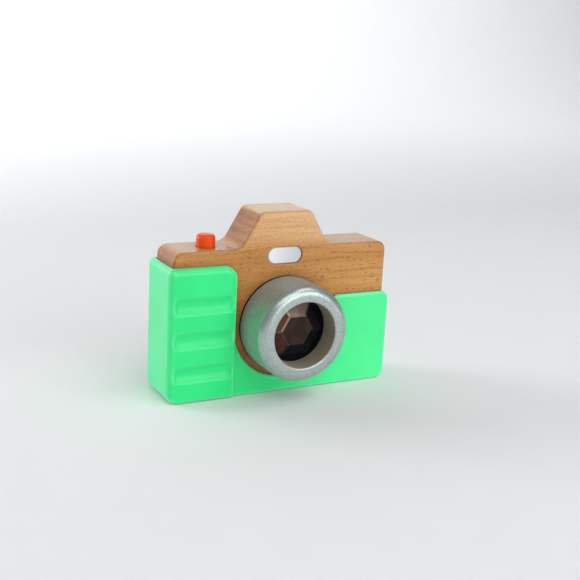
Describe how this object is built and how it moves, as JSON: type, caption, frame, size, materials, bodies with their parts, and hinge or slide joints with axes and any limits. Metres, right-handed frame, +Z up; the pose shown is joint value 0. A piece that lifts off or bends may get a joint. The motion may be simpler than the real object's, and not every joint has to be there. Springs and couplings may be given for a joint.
{
  "type": "toy camera",
  "caption": "Wooden toy camera in a soft silicone boot, with a turning kaleidoscope lens, a sprung shutter button and a battery light behind a flash window.",
  "frame": {"origin": "on the flat underside of the boot, below the middle of the wooden block's width and thickness", "axes": "+Z up, the lens points along -Y, +X to the right as seen from the front"},
  "size_m": [0.125, 0.0545, 0.0932],
  "materials": {
    "beech": "sanded and oiled beech with short dark flecks",
    "silicone": "soft matt silicone",
    "silver_paint": "satin silver metallic paint",
    "felt": "pressed felt",
    "smoked_acrylic": "polished facets",
    "clear_acrylic": "polished",
    "black_plastic": "moulded, matt",
    "orange_plastic": "moulded, satin gloss",
    "milky_plastic": "milky diffuser",
    "white_plastic": "moulded, fine matt texture",
    "board_laminate": "solder mask",
    "cell_steel": "plated",
    "contact_brass": "stamped strip",
    "steel": "plated steel"
  },
  "bodies": {
    "camera_body": {"wooden_body": "beech", "silicone_boot": "silicone", "felt_washer": "felt", "button_spring": "steel", "tact_switch": "black_plastic", "circuit_board": "board_laminate", "board_screws": "steel", "flash_led": "milky_plastic", "flash_window": "milky_plastic", "battery_holder": "white_plastic", "button_cell_1": "cell_steel", "button_cell_2": "cell_steel", "button_cell_3": "cell_steel", "positive_contact": "contact_brass", "negative_contact": "contact_brass", "rear_cover": "white_plastic", "cover_screws": "steel"},
    "lens": {"lens_barrel": "silver_paint", "kaleidoscope_glass": "smoked_acrylic", "lens_tube": "black_plastic", "eyepiece_ring": "silver_paint", "eyepiece_window": "clear_acrylic"},
    "shutter": {"shutter_button": "orange_plastic"},
    "door": {"battery_door": "white_plastic", "door_screws": "steel"}
  },
  "joints": [
    {"name": "lens_turn", "type": "hinge", "parent": "camera_body", "child": "lens", "pos_m": [0.0005, 0, 0.036], "axis": [0, 1, 0], "continuous": true},
    {"name": "button_press", "type": "slide", "parent": "camera_body", "child": "shutter", "axis": [0, 0, -1], "range_m": [0, 0.002], "stiffness_N_per_m": 400, "springref_m": -0.001, "deforming": ["button_spring"]},
    {"name": "door_off", "type": "slide", "parent": "camera_body", "child": "door", "axis": [0, 1, 0], "range_m": [0, 0.02]}
  ]
}
